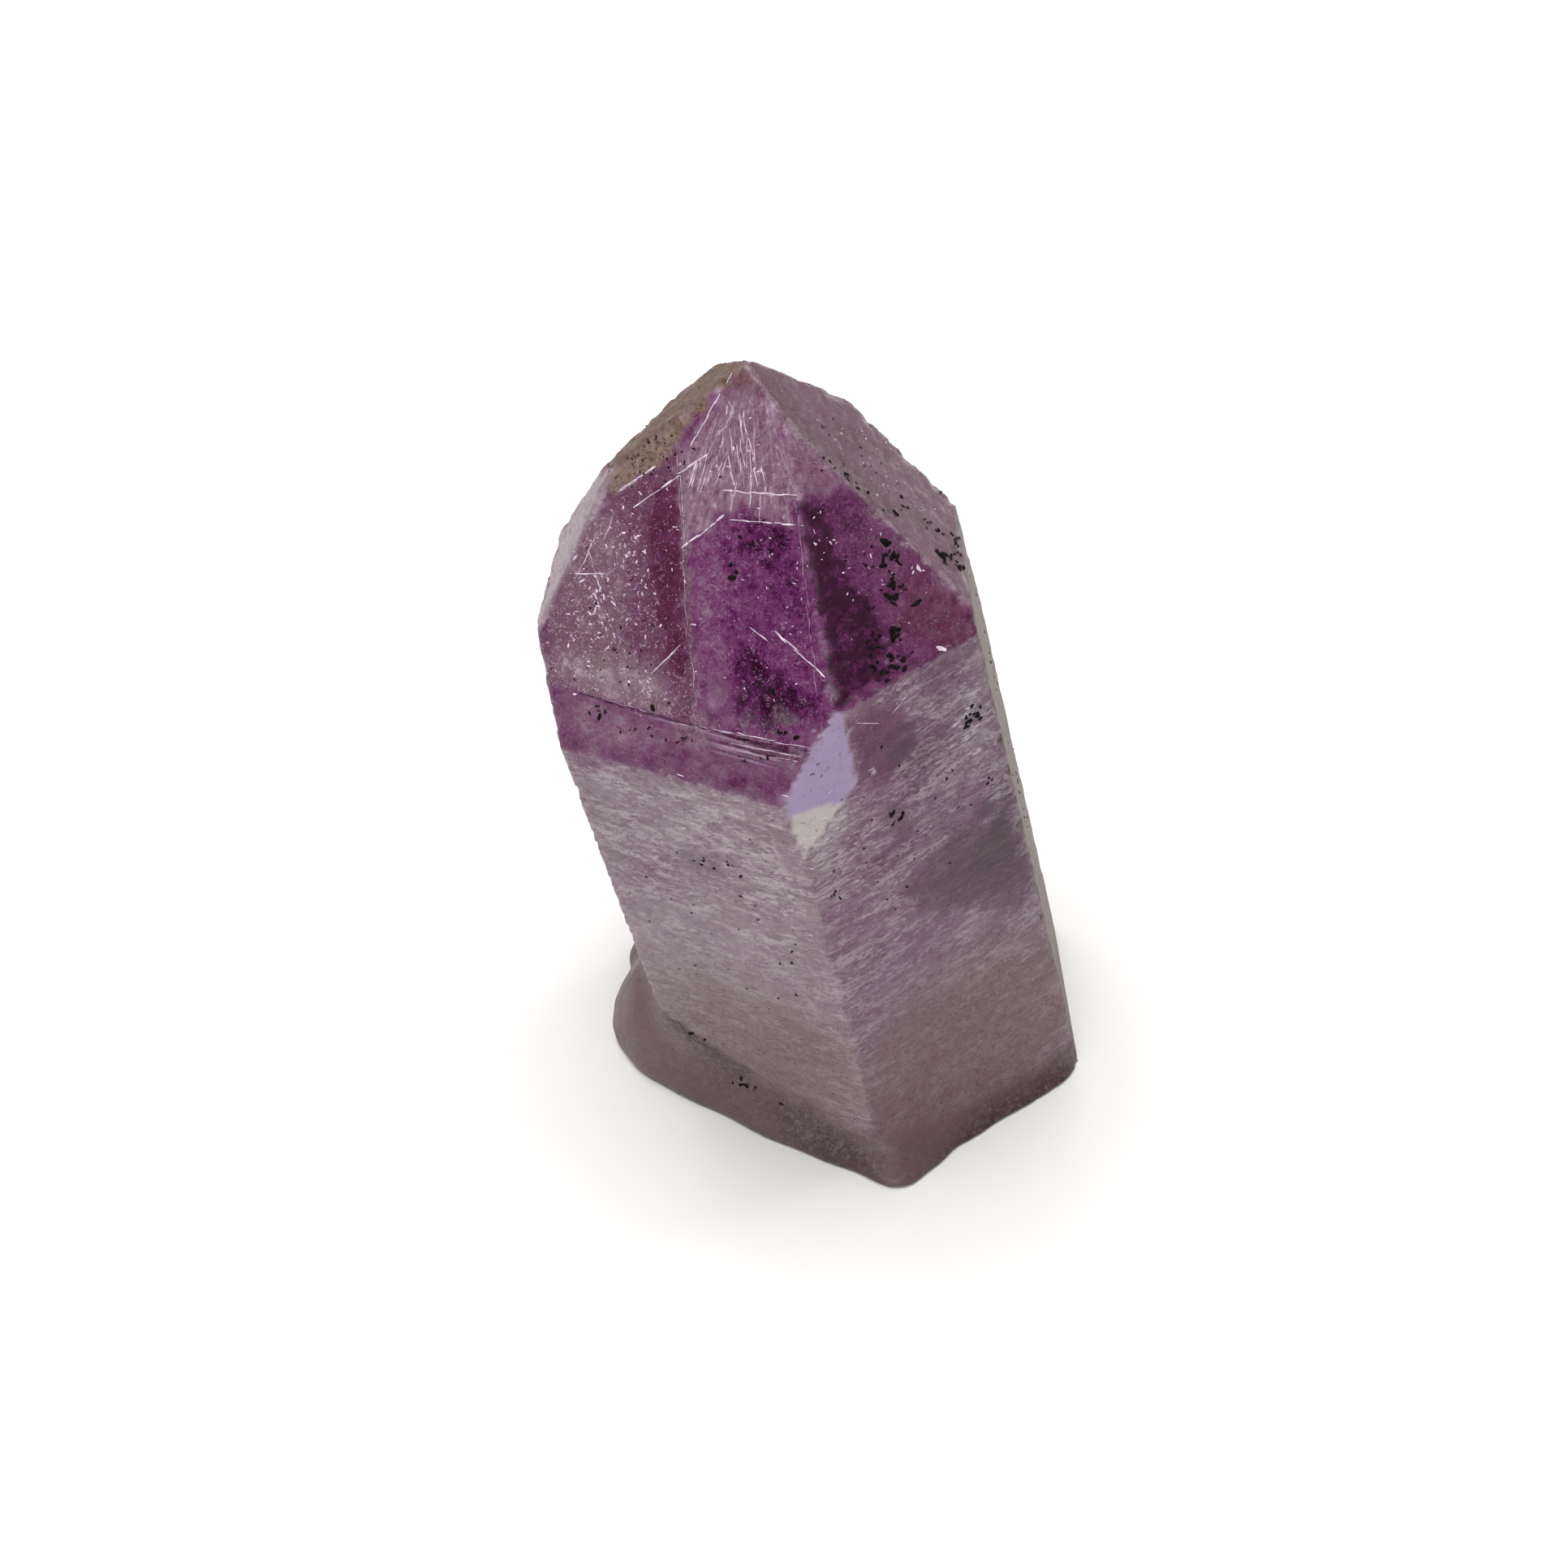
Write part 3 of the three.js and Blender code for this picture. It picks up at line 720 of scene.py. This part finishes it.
def draw_line(sculpt, pick, name, start, end, width, wander=0.02):
    """A thin line along a face, made of slivers that overlap."""
    (u0, v0), (u1, v1) = start, end
    length, turn = math.hypot(u1 - u0, v1 - v0), math.degrees(math.atan2(v1 - v0, u1 - u0))
    steps = max(1, round(length / 0.6))
    for i in range(steps):
        t = (i + 0.5) / steps
        u, v = u0 + (u1 - u0) * t + pick.gauss(0, wander), v0 + (v1 - v0) * t + pick.gauss(0, wander)
        add_sliver(sculpt, name, u, v, turn + pick.gauss(0, 3), length / steps * pick.uniform(1.1, 1.9),
                   width * pick.uniform(0.6, 1.2), 0.03)


def finish_piece(sculpt, name, material):
    mesh = bpy.data.meshes.new(name)
    sculpt.to_mesh(mesh)
    sculpt.free()
    mesh.materials.append(material)
    piece = bpy.data.objects.new(name, mesh)
    bpy.context.collection.objects.link(piece)
    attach(piece, "root")
    return piece


# Black flakes: face, middle (across, up), spread (across, up), how many, size
FLAKES = [
    ("tip_front_right", (3.7, 4.7), (0.25, 0.5), 5, 0.34),
    ("tip_front_right", (3.3, 4.2), (0.15, 0.3), 3, 0.3),
    ("tip_front_right", (3.9, 3.9), (0.15, 0.25), 4, 0.27),
    ("tip_front_right", (3.1, 3.0), (0.35, 0.7), 7, 0.28),
    ("tip_front_right", (2.9, 2.5), (0.25, 0.3), 7, 0.26),
    ("tip_front_right", (3.65, 1.75), (0.1, 0.1), 2, 0.3),
    ("tip_front_right", (1.95, 0.95), (0.35, 0.3), 8, 0.27),
    ("tip_front_right", (0.9, 1.1), (0.4, 0.4), 11, 0.2),
    ("tip_front_right", (1.4, 0.0), (0.55, 0.45), 15, 0.26),
    ("tip_front_right", (0.4, 0.0), (0.4, 0.3), 4, 0.24),
    ("tip_front_right", (2.6, 4.0), (1.4, 2.4), 16, 0.13),
    ("tip_front", (2.45, 8.35), (0.3, 0.3), 5, 0.26),
    ("tip_front", (1.95, 6.85), (0.25, 0.2), 4, 0.26),
    ("tip_front", (4.75, 1.7), (0.08, 0.12), 1, 0.3),
    ("tip_front", (2.2, 3.0), (2.0, 3.0), 14, 0.12),
    ("tip_front", (5.6, -0.1), (0.6, 0.25), 6, 0.2),
    ("tip_step", (-1.54, -0.42), (0.04, 0.04), 1, 0.42),
    ("tip_step", (-3.4, 1.2), (2.4, 1.6), 14, 0.13),
    ("tip_step", (-3.8, 5.0), (2.6, 3.6), 16, 0.11),
    ("band", (-4.7, 0.0), (0.5, 0.3), 7, 0.2),
    ("band", (-1.2, -0.6), (2.4, 0.4), 8, 0.15),
    ("band", (3.6, -0.2), (2.6, 0.3), 7, 0.15),
    ("tip_right", (-2.4, 5.05), (0.1, 0.2), 3, 0.34),
    ("tip_right", (-3.3, 2.1), (0.25, 0.3), 4, 0.34),
    ("tip_right", (-2.4, 8.8), (0.7, 2.6), 26, 0.17),
    ("tip_right", (-1.6, 0.8), (1.4, 0.5), 14, 0.2),
    ("tip_right", (0.6, 6.0), (1.4, 3.4), 14, 0.14),
    ("tip_right", (-1.4, 3.4), (0.7, 1.4), 12, 0.22),
    ("tip_right", (-3.2, 1.6), (0.5, 1.0), 10, 0.2),
    ("tip_front", (-3.4, 11.4), (2.6, 1.6), 70, 0.1),
    ("cap", (1.5, -2.0), (3.0, 3.0), 40, 0.12),
    ("side_front_right", (4.75, 2.3), (0.5, 0.6), 14, 0.26),
    ("side_front_right", (-0.5, -1.0), (0.3, 0.5), 5, 0.24),
    ("side_front_right", (5.0, -2.5), (0.3, 0.4), 4, 0.18),
    ("side_front_right", (-4.5, -3.9), (0.3, 0.5), 5, 0.18),
    ("side_front_right", (0.5, -2.0), (3.6, 5.0), 26, 0.13),
    ("side_front_left", (-4.4, -18.9), (0.05, 0.05), 1, 0.34),
    ("side_front_left", (-3.6, -19.1), (0.05, 0.05), 1, 0.26),
    ("side_front_left", (-1.6, -22.0), (0.8, 0.5), 8, 0.26),
    ("side_front_left", (0.6, -22.8), (0.4, 0.3), 4, 0.2),
    ("side_front_left", (4.3, -8.3), (0.3, 1.0), 3, 0.22),
    ("side_front_left", (0.4, -2.7), (1.6, 0.9), 9, 0.2),
    ("side_front_left", (0.0, -8.0), (4.6, 8.0), 26, 0.13),
    ("tip_back_right", (0.0, 6.0), (3.0, 3.5), 30, 0.2),
    ("tip_back_left", (0.0, 5.0), (3.0, 3.5), 26, 0.2),
    ("side_back_right", (0.0, -6.0), (4.0, 9.0), 30, 0.18),
    ("side_back_left", (0.0, -6.0), (4.0, 9.0), 30, 0.18),
    ("side_left", (0.0, -6.0), (3.5, 8.0), 20, 0.16),
    ("side_right", (0.0, -6.0), (3.5, 9.0), 24, 0.16),
]


# Dark hairline cracks: face, from (across, up), to (across, up), width
CRACKS = [
    ("tip_front", (-5.6, -0.6), (-1.6, -0.75), 0.03),
    ("tip_front", (-1.6, -0.75), (2.4, -0.85), 0.03),
    ("tip_front", (2.4, -0.85), (6.4, -0.95), 0.03),
    ("band", (3.0, 0.45), (7.1, 0.7), 0.03),
    ("band", (4.0, -0.05), (7.2, 0.12), 0.025),
]


def black_flakes():
    """Small black mineral flakes, alone and in clusters, and the dark hairline cracks."""
    pick = random.Random(4)
    noise.seed_set(4)  # the vector noise below draws its offsets from this
    sculpt = bmesh.new()
    for name, (across, up), (du, dv), count, size in FLAKES:
        for _ in range(count):
            s = size * pick.uniform(0.6, 1.25)
            u, v = across + pick.gauss(0, 0.6) * du, up + pick.gauss(0, 0.6) * dv
            turn, long, wide = pick.uniform(0, 180), pick.uniform(0.9, 1.7), pick.uniform(0.5, 0.9)
            add_sliver(sculpt, name, u, v, turn, s * long, s * wide, 0.03 + 0.1 * s, 2)
    for vert in sculpt.verts:
        vert.co += noise.noise_vector(vert.co / MM * 7) * 0.05 * MM
    for line in CRACKS:
        draw_line(sculpt, pick, *line)
    mineral = plain_material("black_mineral", "#0e0706", "#040202", 0.5, 3.0, shine=0.08)
    return finish_piece(sculpt, "black_flakes", mineral)


# Worn pale edges: face, from (across, up), to (across, up), width
EDGES = [
    ("tip_front", (-2.1, 11.6), (-1.35, 8.4), 0.05),
    ("tip_front", (-1.35, 8.4), (-0.45, 4.4), 0.04),
    ("tip_front", (-0.45, 4.4), (0.95, -0.4), 0.035),
    ("tip_front", (2.3, 14.9), (4.6, 10.6), 0.04),
    ("tip_front", (4.6, 10.6), (7.0, 2.0), 0.035),
    ("tip_front_right", (3.0, 13.0), (4.6, 6.4), 0.04),
    ("band", (-4.0, 0.72), (-0.1, 0.5), 0.035),
    ("band", (-0.1, 0.5), (3.4, 0.62), 0.035),
]


def edge_chips():
    """Pale, chipped lines where the edges of the tip are worn."""
    pick = random.Random(21)
    sculpt = bmesh.new()
    for line in EDGES:
        draw_line(sculpt, pick, *line, wander=0.035)
    worn_quartz = plain_material("worn_quartz", "#a78d9e", "#7d6076", 0.45, 2.0)
    return finish_piece(sculpt, "edge_chips", worn_quartz)


# White scratches and chipped lines: face, from (across, up), to (across, up), width
SCRATCHES = [
    ("tip_front", (-1.95, 11.8), (-1.1, 7.8), 0.05),
    ("tip_front", (-4.1, 8.8), (-0.35, 12.0), 0.10),
    ("tip_front", (-1.07, 7.45), (0.95, 9.35), 0.13),
    ("tip_front", (1.3, 9.2), (4.6, 9.55), 0.08),
    ("tip_front", (-1.9, 1.15), (-0.45, 2.95), 0.09),
    ("tip_front", (3.15, 4.4), (4.05, 4.0), 0.08),
    ("tip_front", (4.45, 4.45), (7.3, 2.95), 0.10),
    ("tip_front", (-5.0, 9.45), (-3.2, 10.9), 0.13),
    ("tip_front", (0.7, 10.45), (4.5, 10.9), 0.09),
    ("tip_front", (2.8, 9.3), (2.7, 10.6), 0.06),
    ("tip_front", (-5.5, 7.0), (-5.0, 8.6), 0.05),
    ("tip_front", (-6.6, 5.2), (-5.9, 7.2), 0.06),
    ("tip_front", (-6.7, 5.1), (-5.2, 5.4), 0.07),
    ("tip_front", (-6.2, 6.3), (-5.3, 4.6), 0.05),
    ("tip_front", (0.4, 15.9), (-1.3, 12.2), 0.08),
    ("band", (1.8, 0.62), (7.0, 0.86), 0.045),
    ("band", (2.6, 0.14), (7.2, 0.34), 0.045),
    ("band", (3.6, -0.1), (7.2, 0.08), 0.035),
    ("side_front_right", (-1.2, 6.3), (-0.2, 5.5), 0.05),
    ("side_front_right", (0.6, 5.6), (1.6, 6.3), 0.05),
]


# Small nicks: face, middle (across, up), spread (across, up), how many, size
NICKS = [
    ("tip_front", (-4.2, 5.4), (1.9, 2.6), 90, 0.17),
    ("tip_front", (-5.6, 3.6), (1.2, 2.6), 40, 0.22),
    ("tip_front", (-1.4, 6.5), (0.7, 4.0), 24, 0.13),
    ("tip_front", (-2.0, 0.3), (1.4, 0.8), 14, 0.15),
    ("tip_front", (3.0, 5.0), (2.0, 3.4), 30, 0.12),
    ("tip_front", (5.4, 5.2), (0.8, 2.8), 16, 0.14),
    ("tip_front", (1.6, 11.6), (1.4, 1.6), 30, 0.16),
    ("tip_front_right", (1.2, 6.6), (0.5, 1.0), 13, 0.16),
    ("tip_front_right", (2.6, 4.0), (1.8, 2.6), 26, 0.14),
    ("tip_front_right", (4.6, 3.1), (0.05, 0.05), 2, 0.4),
    ("tip_front_right", (3.8, -0.55), (0.1, 0.3), 3, 0.36),
    ("tip_right", (0.0, 5.0), (2.0, 4.0), 40, 0.14),
    ("side_front_left", (0.0, 0.0), (5.0, 3.0), 40, 0.26),
    ("side_front_left", (3.6, -4.0), (2.0, 3.5), 26, 0.26),
    ("side_front_right", (-3.6, 0.0), (1.2, 3.0), 24, 0.24),
    ("side_front_right", (4.6, 1.8), (0.6, 2.0), 20, 0.34),
    ("side_front_right", (0.5, -1.0), (3.6, 4.0), 30, 0.2),
]


def white_nicks():
    """Frosted scratches, chipped edge lines and small nicks in the faces."""
    pick = random.Random(9)
    sculpt = bmesh.new()
    for line in SCRATCHES:
        draw_line(sculpt, pick, *line)
    apex_across, apex_up = 0.9, 16.2
    for _ in range(46):  # scratches that fan out below the apex
        v = pick.uniform(10.8, 14.6)
        u = apex_across + pick.uniform(-1.0, 1.0) * (apex_up - v) * 0.42
        end = (u + pick.gauss(0, 0.25) + (u - apex_across) * 0.15, v - pick.uniform(0.3, 1.4))
        draw_line(sculpt, pick, "tip_front", (u, v), end, pick.uniform(0.03, 0.07))
    for name, (across, up), (du, dv), count, size in NICKS:
        for _ in range(count):
            s = size * pick.uniform(0.5, 1.3)
            u, v = across + pick.gauss(0, 0.7) * du, up + pick.gauss(0, 0.7) * dv
            if name.startswith("side"):  # along the growth layers
                turn, long, wide = pick.gauss(0, 6), 1.6, 0.22
            else:
                turn, long, wide = pick.uniform(0, 180), pick.uniform(0.8, 1.8), pick.uniform(0.25, 0.6)
            add_sliver(sculpt, name, u, v, turn, s * long, s * wide, 0.03)
    frosted_quartz = plain_material("frosted_quartz", "#cdbeca", "#9a8698", 0.4, 2.0)
    return finish_piece(sculpt, "white_nicks", frosted_quartz)


# ---- Studio ----
# Soft lights: name, place in metres, side in metres, watts
LIGHTS = [
    ("overhead_softbox", (-0.10, 0.05, 0.60), 0.5, 5.4),
    ("side_softbox", (0.45, 0.3, 0.35), 0.3, 1.0),
    ("front_softbox", (-0.1, -0.6, 0.15), 0.4, 2.0),
]


def studio():
    bpy.ops.mesh.primitive_plane_add(size=3.0, location=(0, 0, 0))
    floor = bpy.context.object
    floor.name = "floor"
    floor.data.materials.append(plain_material("pale_floor", "#d2d1cf", "#d0cfcd", 0.7, 0.02, 0.0))
    for name, at, size, power in LIGHTS:
        light = bpy.data.lights.new(name, "AREA")
        light.size = size
        light.energy = power
        holder = bpy.data.objects.new(name, light)
        holder.location = at
        holder.rotation_euler = (Vector((0, 0, 0.02)) - Vector(at)).to_track_quat("-Z", "Y").to_euler()
        bpy.context.collection.objects.link(holder)
    world = bpy.data.worlds.new("soft_studio")
    world.use_nodes = True
    tree = world.node_tree
    height = tree.nodes.new("ShaderNodeSeparateXYZ")
    tree.links.new(tree.nodes.new("ShaderNodeTexCoord").outputs["Generated"], height.inputs[0])
    sky = tree.nodes.new("ShaderNodeValToRGB")
    low, high = sky.color_ramp.elements
    low.position, high.position = 0.4, 1.0
    low.color, high.color = (0.08, 0.08, 0.085, 1), (0.8, 0.8, 0.82, 1)
    tree.links.new(height.outputs["Z"], sky.inputs["Fac"])
    tree.links.new(sky.outputs["Color"], tree.nodes["Background"].inputs[0])
    tree.nodes["Background"].inputs[1].default_value = 1.05
    bpy.context.scene.world = world
    bpy.context.scene.view_settings.view_transform = "Standard"


# The focal length and the side of the square frame in its own pixels, and the sensor in millimetres
FOCAL, FRAME_SIDE, SENSOR = 3250, 1932, 36


def camera():
    tilt, reach = math.radians(45.8), 139.9
    look_at = Vector((-2.31, 0.215, 18.15))
    lens = bpy.data.cameras.new("camera")
    lens.sensor_width = SENSOR
    lens.lens = FOCAL / FRAME_SIDE * SENSOR
    lens.clip_start = 0.005
    holder = bpy.data.objects.new("camera", lens)
    holder.location = (look_at + Vector((0, -math.cos(tilt), math.sin(tilt))) * reach) * MM
    holder.rotation_euler = (math.radians(90) - tilt, 0, 0)
    bpy.context.collection.objects.link(holder)
    bpy.context.scene.camera = holder


stone = amethyst_point()
# The surface that the slivers are laid on
corners = [vert.co for vert in stone.data.vertices]
stone_surface = BVHTree.FromPolygons(corners, [face.vertices for face in stone.data.polygons])
black_flakes()
edge_chips()
white_nicks()
studio()
camera()
